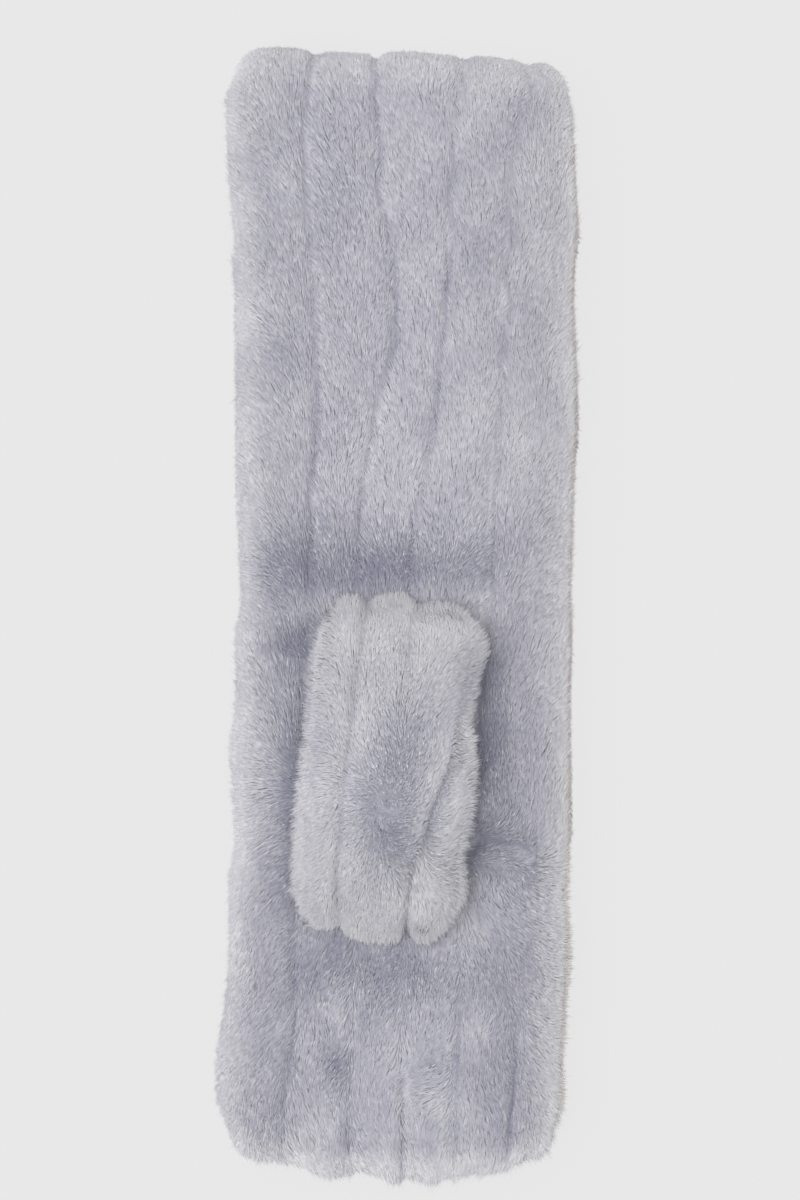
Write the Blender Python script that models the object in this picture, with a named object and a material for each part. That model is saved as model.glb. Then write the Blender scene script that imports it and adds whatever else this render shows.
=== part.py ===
"""A faux-fur collar wrap, folded in half and laid flat, with its keeper band on top.

X runs across the wrap, +Y towards the fold, +Z up from the surface that it lies on.
Each solid is a wall of fur cloth: its backing on the plain side, and its pile out to the tips.
"""

import bmesh
import bpy
import numpy as np

MM = 0.001  # metres in a millimetre: every size below is in millimetres

# The fur cloth as it lies: a knitted backing, and the pile's reach above it.
BACKING = 1.5
PILE = 9.5
WALL = BACKING + PILE
SEAM_GAP = 0.3

# The folded stack: each half of the wrap is a face wall and a back wall.
HALF = 2 * WALL
STACK = 2 * HALF
FACE_BASE = STACK - WALL
FOLD_REACH = 265.0
FREE_END = -263.0
BEND_Y = FOLD_REACH - HALF
EDGE_ROLL = 12.0
LEFT_CORNER = 18.0
RIGHT_CORNER = 12.0
UNDER_SHORT = 3.0
GROOVE_INSET = 8.0
GROOVE_FADE = 34.0
GROOVE_LEFT_AT_FOLD = 0.25

# The sewn channels that run along the face panel.
RIB_DEPTH = 3.2
RIB_SOFTNESS = 3.8
THINNEST_PILE = 3.0

# The keeper band: a flat tube of the same fur, sewn down at its two ends over a tunnel.
KEEPER_UPPER = 12.0
KEEPER_LOWER = 6.5
KEEPER_ROLL = 11.0
KEEPER_END_ROLL = 13.0
KEEPER_RIB_DEPTH = 4.4
KEEPER_RIB_SOFTNESS = 3.6
KEEPER_MIDDLE = -72.0
KEEPER_SEAMS_APART = 152.0
KEEPER_SEAT = 0.5
TUNNEL_RISE = 9.5
KEEPER_HOLLOW = {"x": -7, "y": -80, "across": 11, "along": 36, "depth": 2.6}

# Edges of the upper half along the wrap, and how far the half beneath stands out past them.
EDGES = {
    "y": (-245, -235, -220, -200, -180, -150, -128, -118, -105, -70, -40, -10, 5, 30, 60, 90,
          120, 150, 163, 180, 200, 225, 245, 262),
    "left": (-79, -82.3, -85, -83.6, -80.7, -78.9, -78.8, -77.6, -75.7, -76.9, -75.5, -75.5,
             -73.0, -73.2, -74.5, -74.8, -75.0, -75.0, -76.2, -76.5, -78.9, -79.8, -79.3, -77),
    "right": (71, 73.2, 74.2, 74.8, 76, 77.2, 75.7, 77.2, 78.4, 78.6, 78.4, 79.1, 78.5, 79.1,
              80.1, 82, 80.9, 80, 80.5, 82.3, 81.4, 80.4, 78.8, 77),
    "under_left": (0, 0, 0, 0, 0, 0, 0, 0, 0, 0, 0, 0.3, 2, 2.9, 3, 2.8, 2.9, 2.6, 0.5, 0, 0, 0, 0, 0),
    "under_right": (0, 0.5, 0.7, 0.8, 1, 1.2, 1.2, 2, 2.8, 3, 3, 3, 3, 3, 3, 3, 3, 3, 3, 3, 3, 2, 1, 0),
}

# Places across the wrap of the five valleys between its ribs, and how much of the fifth there is.
VALLEYS = {
    "y": (-245, -210, -190, -165, -120, -60, 0, 30, 60, 90, 125, 165, 200, 230, 262),
    "first": (-55.7, -52, -49.1, -49.9, -48.1, -45.2, -42.4, -41.5, -40.2, -38, -38, -40.4, -41.8,
              -42.4, -39.4),
    "second": (-24.1, -23.7, -23.3, -22.9, -22.1, -21, -19.8, -18.8, -15.7, -10.2, -1.9, -3.7,
               -8.8, -10.7, -11.1),
    "third": (0.9, 0.8, 0.7, 0.5, 1.2, 2.5, 3.8, 6.5, 12, 16.8, 20.3, 23.1, 24.6, 27.2, 29.7),
    "fourth": (26, 26.8, 27.5, 28.9, 31.9, 36, 40.1, 42.2, 42.9, 45.9, 48.7, 49.3, 53.5, 57.2,
               59.4),
    "fifth": (51, 53, 54.3, 56.5, 61, 64, 66, 66.5, 67, 67.5, 68, 68.5, 69, 69.5, 69.5),
    "fifth_share": (1, 1, 0.8, 0.4, 0, 0, 0, 0, 0, 0, 0, 0, 0, 0, 0),
}
VALLEY_NAMES = ("first", "second", "third", "fourth", "fifth")

# How far the hem at the free end lies short of the furthest pile, across the wrap.
HEM = {
    "x": (-76, -64, -57, -50, -44, -38, -33, -24, -13, -2, 6, 16, 31, 43, 50, 57, 64, 72),
    "short": (9, 8.3, 7.9, 6.8, 5.6, 2, 1.1, 2.6, 2.6, 0, 1.6, 0.2, 2.1, 2.4, 4.2, 9.2, 10.6, 11.5),
}
HEM_FADE = 26.0

# How far the fold lies short of its furthest place, across the wrap, and where that starts.
FOLD = {
    "x": (-80, -70, -54, -40, -26, -12, 2, 20, 42, 60, 68, 80),
    "short": (3, 0.8, 0, 1.6, 2.4, 2.6, 2, 3.4, 4.6, 6.8, 7.2, 8),
}
FOLD_SHIFT_FROM = 130.0

# Where the pile is pressed down, each an oval dip: its middle, its two radii and its depth.
DIPS = (
    {"x": 2, "y": 14, "across": 62, "along": 17, "depth": 4.0},
    {"x": -2, "y": 3, "across": 34, "along": 9, "depth": 2.4},
    {"x": -10, "y": -156, "across": 42, "along": 13, "depth": 4.4},
    {"x": -60, "y": -112, "across": 9, "along": 44, "depth": 3.6},
    {"x": 49, "y": -72, "across": 9, "along": 46, "depth": 4.0},
)

# Creases where the keeper's corners pull the panel: the points they pass, their depth and width.
CREASES = (
    {"points": ((-30, -5), (-42, -9), (-53, -17), (-67, -24)), "depth": 4.2, "width": 4.0},
    {"points": ((31, -114), (48, -107), (60, -108), (64, -114), (61, -121), (68, -119)),
     "depth": 4.6, "width": 3.6},
)

# The keeper's edges and the three valleys between its ribs. The first runs all along it, the second
# fades out below the upper end, and the third runs from the lower end into the right edge.
KEEPER = {
    "y": (-146, -134, -114, -99, -83, -62, -50, -36, -20, -12, -5, 6),
    "left": (-45, -48.6, -48.6, -48, -46.4, -43.6, -42, -40.8, -39.6, -38.6, -36.8, -33),
    "first": (-28, -29.6, -29.2, -27.4, -25.8, -23, -22.2, -21, -19, -18, -17, -14.6),
    "second": (-12, -11, -9.5, -7.5, -5, -1, 1, 2.6, 4, 5, 6.5, 9.4),
    "third": (2.8, 4, 7.4, 11.6, 17.8, 24.6, 26, 25.6, 27, 28, 26.4, 21),
    "right": (24.5, 29.8, 28.6, 32, 34, 33.8, 31.6, 34.2, 39.4, 41, 39, 29.6),
    "first_share": (0.7, 1, 1, 1, 1, 1, 1, 1, 1, 1, 1, 1),
    "second_share": (0, 0, 0, 0, 0, 0, 0.15, 0.55, 0.9, 1, 1, 1),
    "third_share": (1, 1, 1, 1, 1, 0.7, 0.3, 0, 0, 0, 0, 0),
}
KEEPER_GUIDES = ("left", "first", "second", "third", "right")
# The reach of the keeper's ends, across it from its left edge to its right, a quarter to each rib.
KEEPER_ENDS = {
    "across": (0, 0.06, 0.12, 0.2, 0.25, 0.3, 0.37, 0.44, 0.5, 0.55, 0.62, 0.7, 0.75, 0.79, 0.86,
               0.93, 1),
    "bottom": (-142, -145.6, -146.6, -146.6, -145.2, -149, -151.2, -152.3, -152.8, -153, -152.8,
               -151, -146.5, -151.4, -153, -150, -144),
    "top": (-1, 6, 8.6, 7.8, 1.5, 7.6, 9.8, 8.4, 2, 4.2, 4.8, 5, 5, 4.6, 3.8, 2, -1),
}

# Steps of the meshes. Within a rib, a step is a share of the way from its valley to the next.
EDGE_STEPS = (0, 0.04, 0.12, 0.24, 0.42, 0.7)
RIB_STEPS = (0, 0.18, 0.5, 0.82)
FREE_END_STEPS = (0, 0.8, 2.5, 5.5, 9.5, 14)
PANEL_ROWS = 58
BEND_ROWS = 9
CORNER_STEPS = 6
SIDE_STEPS = 26
HEM_STEPS = 9
KEEPER_EDGE_STEPS = (0, 0.04, 0.14, 0.3, 0.5, 0.72, 0.88)
KEEPER_RIB_STEPS = (0, 0.1, 0.28, 0.5, 0.72, 0.9)
KEEPER_END_STEPS = (0, 0.006, 0.02, 0.045, 0.085)
KEEPER_ROWS = 18
LAYER_LEVELS = (0, 1.5, 4.5, 8, WALL + SEAM_GAP, 12.5, 15, 18.5, 20.6, 22, 23.4, 25.5, 29,
                FACE_BASE - SEAM_GAP)

FUR_COLOUR = (0.50, 0.50, 0.56, 1.0)
FUR_ROUGHNESS = 0.95


def read(table, name, at, key="y"):
    """A column of a table at any place, on a smooth curve through its rows."""
    places = np.array(table[key], float)
    values = np.array(table[name], float)
    slopes = np.gradient(values, places)
    at = np.clip(at, places[0], places[-1])
    row = np.clip(np.searchsorted(places, at, side="right") - 1, 0, len(places) - 2)
    step = places[row + 1] - places[row]
    t = (at - places[row]) / step
    start = values[row] * (1 + 2 * t) * (1 - t) ** 2 + slopes[row] * step * t * (1 - t) ** 2
    end = values[row + 1] * t**2 * (3 - 2 * t) + slopes[row + 1] * step * t**2 * (t - 1)
    return start + end


def rolled(distance, roll):
    """The share of its height that pile has at a distance in from an edge: a quarter round."""
    inward = np.clip(distance / roll, 0, 1)
    return np.sqrt(np.clip(1 - (1 - inward) ** 2, 0, 1))


def corner_trim(past_end, radius):
    """How far a rounded corner takes the side edge in, at a distance past the end."""
    left = np.clip((radius - past_end) / radius, 0, 1)
    return radius * (1 - np.sqrt(1 - left**2))


def hem_shift(x, y):
    """How far a point near the free end moves along for the hem's curve."""
    near = np.exp(-np.clip(y - FREE_END, 0, None) / HEM_FADE)
    return read(HEM, "short", x, key="x") * near


def fold_shift(x, y):
    """How far a point near the fold moves back for the fold's slope."""
    near = np.clip((y - FOLD_SHIFT_FROM) / (BEND_Y - FOLD_SHIFT_FROM), 0, 1)
    return read(FOLD, "short", x, key="x") * near**2 * (3 - 2 * near)


def bell(distance, width):
    return np.exp(-((distance / width) ** 2))


def oval(dip, x, y):
    """The depth of one oval dip at a place."""
    return dip["depth"] * bell(x - dip["x"], dip["across"]) * bell(y - dip["y"], dip["along"])


def dips(x, y):
    """The pile's depth lost to the oval dips."""
    return sum(oval(dip, x, y) for dip in DIPS)


def off_line(x, y, points):
    """The distance from a line through points, and the share of the way along it."""
    nearest = np.full(np.shape(x), np.inf)
    share = np.zeros(np.shape(x))
    for i, (start, end) in enumerate(zip(points, points[1:])):
        run = np.subtract(end, start)
        t = np.clip(((x - start[0]) * run[0] + (y - start[1]) * run[1]) / (run @ run), 0, 1)
        away = np.hypot(x - start[0] - t * run[0], y - start[1] - t * run[1])
        share = np.where(away < nearest, (i + t) / (len(points) - 1), share)
        nearest = np.minimum(nearest, away)
    return nearest, share


def creases(x, y):
    """The pile's depth lost to the pulled creases, which fade out at their far ends."""
    lost = 0.0
    for crease in CREASES:
        away, share = off_line(x, y, crease["points"])
        lost = lost + crease["depth"] * bell(away, crease["width"]) * (1 - 0.6 * share**2)
    return lost


def pressed_flat(x, y):
    """From 0 to 1 where the keeper's sewn ends press the ribs below them flat."""
    over = bell(np.clip(np.abs(x + 5) - 34, 0, None), 10)
    ends = bell(y - 3, 13) + bell(y + 148, 13)
    return 0.95 * over * np.clip(ends, 0, 1)


def valleys(x, y):
    """The pile's depth lost to the valleys between ribs."""
    lost = 0.0
    for name in VALLEY_NAMES:
        share = read(VALLEYS, "fifth_share", y) if name == "fifth" else 1.0
        lost = lost + share * bell(x - read(VALLEYS, name, y), RIB_SOFTNESS)
    return RIB_DEPTH * lost * (1 - pressed_flat(x, y))


def ribbed_wall(x, y):
    """The face wall's thickness away from its edges."""
    return np.clip(WALL - valleys(x, y) - dips(x, y) - creases(x, y), BACKING + THINNEST_PILE, WALL)


def smooth_top(x, y):
    """The level of the face panel's tips without its ribs, which the keeper follows."""
    return FACE_BASE + WALL - dips(x, y)


def rib_places(ribs, edge_steps, rib_steps):
    """Places of the mesh's columns, each as a rib's number and a share of the way across it."""
    last_steps = tuple(1 - step for step in reversed(edge_steps[1:]))
    places = list(edge_steps)
    for rib in range(1, ribs - 1):
        places += [rib + step for step in rib_steps]
    places += [ribs - 1 + step for step in (0,) + last_steps]
    return np.array(places + [ribs], float)


def rib_columns(table, names, y, places):
    """The mesh's columns by rows, each at its place between the table's edges and valleys."""
    guides = np.stack([read(table, name, y) for name in names], axis=1)
    rib = np.minimum(places.astype(int), len(names) - 2)
    share = places - rib
    return guides[:, rib] * (1 - share) + guides[:, rib + 1] * share


def panel_grid():
    """The face panel's outer points, rows from the free end round the fold down to the floor."""
    flat_y = np.concatenate([
        FREE_END + np.array(FREE_END_STEPS),
        np.linspace(FREE_END + LEFT_CORNER, BEND_Y, PANEL_ROWS),
        np.full(BEND_ROWS, BEND_Y),
    ])
    turn = np.zeros(len(flat_y))
    turn[-BEND_ROWS:] = np.linspace(0, np.pi, BEND_ROWS + 1)[1:]
    reach_y = flat_y + HALF * np.sin(np.minimum(turn, np.pi / 2))

    past_end = flat_y - FREE_END
    edges = dict(VALLEYS, y=VALLEYS["y"])
    names = ("left",) + VALLEY_NAMES + ("right",)
    y_places = np.array(VALLEYS["y"], float)
    edges["left"] = read(EDGES, "left", y_places)
    edges["right"] = read(EDGES, "right", y_places)
    x = rib_columns(edges, names, reach_y, rib_places(len(names) - 1, EDGE_STEPS, RIB_STEPS))

    left = read(EDGES, "left", reach_y) + corner_trim(past_end, LEFT_CORNER)
    right = read(EDGES, "right", reach_y) - corner_trim(past_end, RIGHT_CORNER)
    across = (x - x[:, :1]) / (x[:, -1:] - x[:, :1])
    x = left[:, None] + across * (right - left)[:, None]

    y = flat_y[:, None] + hem_shift(x, flat_y[:, None])
    from_side = np.minimum(x - left[:, None], right[:, None] - x)
    along = flat_y + HALF * turn
    wall = ribbed_wall(x, y + (along - flat_y)[:, None])
    wall = wall * rolled(from_side, EDGE_ROLL) * rolled(past_end, EDGE_ROLL)[:, None]

    bent = turn[:, None]
    inner = HALF - WALL
    up = np.where(bent > 0, HALF + (inner + wall) * np.cos(bent), FACE_BASE + wall)
    out = y + np.where(bent > 0, (inner + wall) * np.sin(bent), 0)
    out = out - fold_shift(x, out)
    return np.stack([x, out, np.clip(up, 0, None)], axis=2)


def side_face(row, column, rows, columns):
    """The corners of one grid square as faces: a square, or at the grid's own corners the two
    triangles that keep off the rim."""
    a, b = (row, column), (row, column + 1)
    c, d = (row + 1, column + 1), (row + 1, column)
    at_ends = row in (0, rows - 2)
    at_sides = column in (0, columns - 2)
    if not (at_ends and at_sides):
        return [(a, b, c, d)]
    if (row == 0) == (column == 0):
        return [(a, b, c), (a, c, d)]
    return [(a, b, d), (b, c, d)]


class Surface:
    """Points and faces of one closed solid, gathered before they become a mesh."""

    def __init__(self):
        self.bm = bmesh.new()

    def points(self, array):
        """Adds a grid or a ring of points, in millimetres, and returns its vertices."""
        array = np.asarray(array, float)
        flat = [self.bm.verts.new(point) for point in array.reshape(-1, 3) * MM]
        if array.ndim == 2:
            return flat
        width = array.shape[1]
        return [flat[i:i + width] for i in range(0, len(flat), width)]

    def face(self, *verts):
        self.bm.faces.new(verts)

    def skin(self, grid, rim_corners=True):
        """Faces over a grid of vertices."""
        rows, columns = len(grid), len(grid[0])
        for row in range(rows - 1):
            for column in range(columns - 1):
                squares = [((row, column), (row, column + 1), (row + 1, column + 1),
                            (row + 1, column))]
                if rim_corners:
                    squares = side_face(row, column, rows, columns)
                for square in squares:
                    self.face(*(grid[i][j] for i, j in square))

    def finish(self, name, material):
        """The solid as an object, its faces turned outwards and shaded smooth."""
        bmesh.ops.recalc_face_normals(self.bm, faces=self.bm.faces[:])
        mesh = bpy.data.meshes.new(name)
        self.bm.to_mesh(mesh)
        self.bm.free()
        mesh.shade_smooth()
        mesh.materials.append(material)
        made = bpy.data.objects.new(name, mesh)
        bpy.context.scene.collection.objects.link(made)
        return made


def fur_material(name, colour):
    material = bpy.data.materials.new(name)
    material.use_nodes = True
    shader = material.node_tree.nodes["Principled BSDF"]
    shader.inputs["Base Color"].default_value = colour
    shader.inputs["Roughness"].default_value = FUR_ROUGHNESS
    shader.inputs["Metallic"].default_value = 0.0
    return material


def make_face_panel():
    """The upper half's fur face: ribbed tips over a plain inside, round the fold to the floor."""
    surface = Surface()
    grid = surface.points(panel_grid())
    surface.skin(grid)
    surface.face(*grid[0], grid[1][-1], grid[1][0])
    for near, far in zip(grid[1:], grid[2:]):
        surface.face(near[0], near[-1], far[-1], far[0])
    surface.face(*grid[-1])
    return surface.finish("face_panel", fur_material("face_fur", FUR_COLOUR))


def layer_inset(level, y):
    """How far the rounded edges of the walls below the face lie in from the full outline. The
    groove between the halves closes towards the fold."""
    above_seam = np.abs((level % HALF) - WALL) / WALL
    full = EDGE_ROLL * (1 - np.sqrt(np.clip(1 - above_seam**2, 0, 1)))
    if level < WALL:
        return np.full(np.shape(y), full)
    to_fold = np.clip(1 - (BEND_Y - y) / GROOVE_FADE, 0, 1)
    return min(full, GROOVE_INSET) * (1 - (1 - GROOVE_LEFT_AT_FOLD) * to_fold**2)


def layer_ring(level):
    """The outline of the walls below the face at one level above the floor."""
    is_under = level < HALF
    start = FREE_END + layer_inset(level, FREE_END) + (UNDER_SHORT if is_under else 0)
    in_bend = (HALF - WALL - SEAM_GAP) ** 2 - (level - HALF) ** 2
    end = BEND_Y - SEAM_GAP + np.sqrt(max(in_bend, 0))

    turns = np.linspace(0, np.pi / 2, CORNER_STEPS)
    side_y = np.concatenate([
        start + LEFT_CORNER * (1 - np.cos(turns)),
        np.linspace(start + LEFT_CORNER, end, SIDE_STEPS)[1:],
    ])
    sides = {}
    for side, radius in (("left", LEFT_CORNER), ("right", RIGHT_CORNER)):
        outward = -1 if side == "left" else 1
        stands_out = read(EDGES, "under_" + side, side_y) if is_under else 0.0
        inward = layer_inset(level, side_y) + corner_trim(side_y - start, radius)
        x = read(EDGES, side, side_y) + outward * (stands_out - inward)
        sides[side] = np.stack([x, side_y], axis=1)
    hem_x = np.linspace(sides["left"][0, 0], sides["right"][0, 0], HEM_STEPS)[1:-1]
    hem = np.stack([hem_x, np.full(len(hem_x), start)], axis=1)
    ring = np.concatenate([hem, sides["right"], sides["left"][::-1]])
    ring[:, 1] += hem_shift(ring[:, 0], ring[:, 1]) - fold_shift(ring[:, 0], ring[:, 1])
    return np.column_stack([ring, np.full(len(ring), level)])


def make_hidden_layers():
    """The back of the upper half and the whole under half, as one rounded solid: its edges are
    layered by the groove where the halves meet, and its underside rests flat."""
    surface = Surface()
    rings = [surface.points(layer_ring(level)) for level in LAYER_LEVELS]
    for low, high in zip(rings, rings[1:]):
        for i in range(len(low)):
            j = (i + 1) % len(low)
            surface.face(low[i], low[j], high[j], high[i])
    surface.face(*rings[0])
    surface.face(*rings[-1])
    return surface.finish("hidden_layers", fur_material("under_fur", FUR_COLOUR))


def keeper_grids():
    """The keeper band's points above and below: rows from its lower end to its upper."""
    ribs = len(KEEPER_GUIDES) - 1
    places = rib_places(ribs, KEEPER_EDGE_STEPS, KEEPER_RIB_STEPS)
    ends = np.array(KEEPER_END_STEPS)
    middle = np.linspace(0.13, 0.87, KEEPER_ROWS)
    share = np.concatenate([ends, middle, 1 - ends[::-1]])

    y = KEEPER_MIDDLE + (share - 0.5) * KEEPER_SEAMS_APART
    x = rib_columns(KEEPER, KEEPER_GUIDES, y, places)
    bottom = read(KEEPER_ENDS, "bottom", places / ribs, key="across")
    top = read(KEEPER_ENDS, "top", places / ribs, key="across")
    y = bottom + (top - bottom) * share[:, None]

    left, right = x[:, :1], x[:, -1:]
    to_side = np.minimum(x - left, right - x)
    to_end = np.minimum(y - bottom, top - y)
    side_roll = rolled(to_side, KEEPER_ROLL)
    end_roll = rolled(to_end, KEEPER_END_ROLL)

    arch = np.clip(1 - np.abs((y - KEEPER_MIDDLE) / (KEEPER_SEAMS_APART / 2)) ** 3, 0, 1)
    lowest = smooth_top(x, y) + KEEPER_SEAT + TUNNEL_RISE * arch
    edge = lowest + KEEPER_LOWER * end_roll
    lost = sum(
        read(KEEPER, name + "_share", y) * bell(x - read(KEEPER, name, y), KEEPER_RIB_SOFTNESS)
        for name in KEEPER_GUIDES[1:-1]
    )
    crest = KEEPER_UPPER - KEEPER_RIB_DEPTH * lost - oval(KEEPER_HOLLOW, x, y)
    upper = crest * side_roll * end_roll
    lower = KEEPER_LOWER * side_roll * end_roll
    return np.stack([x, y, edge + upper], axis=2), np.stack([x, y, edge - lower], axis=2)


def make_keeper_band():
    """The fur keeper: ribbed above, plain below, arched over the tunnel for the other end."""
    above, below = keeper_grids()
    surface = Surface()
    outer = surface.points(above)
    inner = surface.points(below[1:-1, 1:-1])
    under = [outer[0]]
    for rim, row in zip(outer[1:-1], inner):
        under.append([rim[0]] + row + [rim[-1]])
    under.append(outer[-1])
    surface.skin(outer)
    surface.skin(under)
    return surface.finish("keeper_band", fur_material("keeper_fur", FUR_COLOUR))


def main():
    for old in list(bpy.data.objects):
        bpy.data.objects.remove(old, do_unlink=True)
    make_face_panel()
    make_hidden_layers()
    make_keeper_band()


main()
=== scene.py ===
# A faux-fur collar wrap, folded in half and lying flat: its fur skins, and the pile that stands on them.
import math

import bpy
import numpy as np
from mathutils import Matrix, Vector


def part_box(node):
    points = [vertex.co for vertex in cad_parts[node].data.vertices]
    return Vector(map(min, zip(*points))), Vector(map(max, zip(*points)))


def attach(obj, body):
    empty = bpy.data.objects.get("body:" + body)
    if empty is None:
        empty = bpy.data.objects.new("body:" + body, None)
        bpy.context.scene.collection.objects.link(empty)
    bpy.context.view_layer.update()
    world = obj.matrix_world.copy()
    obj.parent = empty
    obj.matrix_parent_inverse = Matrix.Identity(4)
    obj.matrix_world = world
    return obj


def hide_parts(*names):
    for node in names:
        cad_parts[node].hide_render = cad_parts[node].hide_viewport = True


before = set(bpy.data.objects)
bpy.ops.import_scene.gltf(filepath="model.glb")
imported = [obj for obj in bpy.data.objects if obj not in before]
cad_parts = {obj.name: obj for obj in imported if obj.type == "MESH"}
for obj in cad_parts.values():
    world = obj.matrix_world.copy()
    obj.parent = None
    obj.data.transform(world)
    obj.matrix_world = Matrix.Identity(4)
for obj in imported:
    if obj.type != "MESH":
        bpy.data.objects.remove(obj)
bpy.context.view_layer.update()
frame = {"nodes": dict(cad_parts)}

mm = 0.001  # metres in a millimetre: the tables and the surfaces below are in millimetres
panelLow, panelHigh = (np.array(corner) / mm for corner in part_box("face_panel"))
print("frame loaded:", ", ".join(frame["nodes"]))


# a short table as a list of its rows, each with its columns' names
def rowsOf(columns, *rows):
    return [dict(zip(columns.split(), row)) for row in rows]


# the folded wrap: two halves, each a face wall and a back wall of fur cloth
wrap = {
    "stack": panelHigh[2],
    "freeEnd": panelLow[1],
    "foldReach": panelHigh[1],
    "edgeRoll": 12.0,
    "leftCorner": 18.0,
    "rightCorner": 12.0,
    "underShort": 3.0,  # how much shorter the under half is, and how far up the wrap that fades
    "underFade": 60.0,
    "ribDepth": 3.2,
    "ribSoftness": 2.8,
    "creaseFade": 0.6,  # the share of its depth that a crease loses by its far end
    "thinnestPile": 4.5,
    "pileDepth": 5.5,  # from the tips down to the skin, at the sides
    "combedDepth": 2.4,  # the same, on the face
    "pressedDepth": 1.8,  # and where it lies on the floor
    "skinRoll": 0.7,  # how much tighter the skin rolls at its edge, as a share of its depth
    "skinEnd": 8.0,  # how far from the free end the skin is drawn in
    "flatFrom": 0.95,  # the share of the edge's roll past which the fur is flat
    "rowStep": 2.6,
    "columnStep": 2.2,
    "rollSteps": 8,
    "cornerSteps": 4,
    "turnSteps": 21,
}
wrap["half"] = wrap["stack"] / 2
wrap["wall"] = wrap["stack"] / 4
wrap["bendY"] = wrap["foldReach"] - wrap["half"]

edges = {
    "y": (-245, -235, -220, -200, -180, -150, -128, -118, -105, -70, -40, -10, 5, 30, 60, 90,
          120, 150, 163, 180, 200, 225, 245, 262),
    "left": (-79, -82.3, -85, -83.6, -80.7, -78.9, -78.8, -77.6, -75.7, -76.9, -75.5, -75.5,
             -73.0, -73.2, -74.5, -74.8, -75.0, -75.0, -76.2, -76.5, -78.9, -79.8, -79.3, -77),
    "right": (71, 73.2, 74.2, 74.8, 76, 77.2, 75.7, 77.2, 78.4, 78.6, 78.4, 79.1, 78.5, 79.1,
              80.1, 82, 80.9, 80, 80.5, 82.3, 81.4, 80.4, 78.8, 77),
    "underLeft": (0, 0, 0, 0, 0, 0, 0, 0, 0, 0, 0, 0.3, 2, 2.9, 3, 2.8, 2.9, 2.6, 0.5, 0, 0, 0, 0, 0),
    "underRight": (0, 0, 0, 0, 0, 0.2, 0.6, 1.2, 2, 2, 2, 2, 2, 2, 2, 2, 2, 2, 2, 2, 2, 1.5, 1, 0),
}
valleys = {
    "y": (-245, -210, -190, -165, -120, -60, 0, 30, 60, 90, 125, 165, 200, 230, 262),
    "first": (-55.7, -52, -49.1, -49.9, -48.1, -45.2, -42.4, -41.5, -40.2, -38, -38, -40.4, -41.8,
              -42.4, -39.4),
    "second": (-24.1, -23.7, -23.3, -22.9, -22.1, -21, -19.8, -18.8, -15.7, -10.2, -1.9, -3.7,
               -8.8, -10.7, -11.1),
    "third": (0.9, 0.8, 0.7, 0.5, 1.2, 2.5, 3.8, 6.5, 12, 16.8, 20.3, 23.1, 24.6, 27.2, 29.7),
    "fourth": (26, 26.8, 27.5, 28.9, 31.9, 36, 40.1, 42.2, 42.9, 45.9, 48.7, 49.3, 53.5, 57.2,
               59.4),
    "fifth": (51, 53, 54.3, 56.5, 61, 64, 66, 66.5, 67, 67.5, 68, 68.5, 69, 69.5, 69.5),
    "firstShare": (0.9, 1, 1, 0.9, 0.8, 0.8, 1, 1, 1, 1, 0.8, 0.65, 0.6, 0.6, 0.8),
    "secondShare": (1, 0.5, 0.3, 0.4, 0.8, 1, 1, 0.9, 0.9, 0.9, 1, 1, 1, 1, 1),
    "thirdShare": (1, 0.5, 0.3, 0.4, 0.8, 1, 0.9, 0.8, 0.9, 1, 1, 1, 0.9, 0.8, 0.8),
    "fourthShare": (0.8, 0.9, 0.9, 0.7, 0.8, 1, 0.9, 0.8, 0.8, 0.9, 0.9, 0.7, 0.5, 0.5, 0.7),
    "fifthShare": (1, 1, 0.8, 0.4, 0, 0, 0, 0, 0, 0, 0, 0, 0, 0, 0),
}
# how far the free end and the fold lie short of their furthest places
hem = {
    "x": (-76, -64, -57, -50, -44, -38, -33, -24, -13, -2, 6, 16, 31, 43, 50, 57, 64, 72),
    "short": (9, 8.3, 7.9, 6.8, 5.6, 2, 1.1, 2.6, 2.6, 0, 1.6, 0.2, 2.1, 2.4, 4.2, 9.2, 10.6, 11.5),
    "fade": 26.0,
}
fold = {
    "x": (-80, -70, -54, -40, -26, -12, 2, 20, 42, 60, 68, 80),
    "short": (3.6, 1.4, 0.6, 2.2, 3, 3.2, 2.6, 4, 5.2, 7.4, 7.8, 8.6),
    "from": 130.0,
}
# where the pile is pressed down: the middle, the two radii and the depth of each oval
dips = rowsOf(
    "x y across along depth",
    (2, 14, 62, 17, 4.0), (-2, 3, 34, 9, 2.4), (-10, -156, 42, 13, 4.4), (-60, -112, 9, 44, 3.6),
    (49, -72, 9, 46, 4.0),
)
pressed = {"x": -5, "halfWidth": 34, "fade": 10, "top": 3, "bottom": -148, "along": 13, "share": 0.95}
creases = (
    {"points": ((-30, -5), (-42, -9), (-53, -17), (-67, -24)), "depth": 4.2, "width": 4.0},
    {"points": ((31, -112), (40, -106), (52, -107), (62, -112), (61, -121), (68, -119)),
     "depth": 6.0, "width": 3.2},
)


# the value of a table's column at any place, on a smooth cubic through its rows
def read(table, name, at, key="y"):
    places = np.array(table[key], float)
    values = np.array(table[name], float)
    slopes = np.gradient(values, places)
    at = np.clip(at, places[0], places[-1])
    row = np.clip(np.searchsorted(places, at, side="right") - 1, 0, len(places) - 2)
    step = places[row + 1] - places[row]
    t = (at - places[row]) / step
    start = values[row] * (1 + 2 * t) * (1 - t) ** 2 + slopes[row] * step * t * (1 - t) ** 2
    end = values[row + 1] * t**2 * (3 - 2 * t) + slopes[row + 1] * step * t**2 * (t - 1)
    return start + end


# a quarter round: the share of full height at a distance in from an edge
def rolled(distance, roll):
    return np.sqrt(np.clip(1 - (1 - np.clip(distance / roll, 0, 1)) ** 2, 0, 1))


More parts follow.
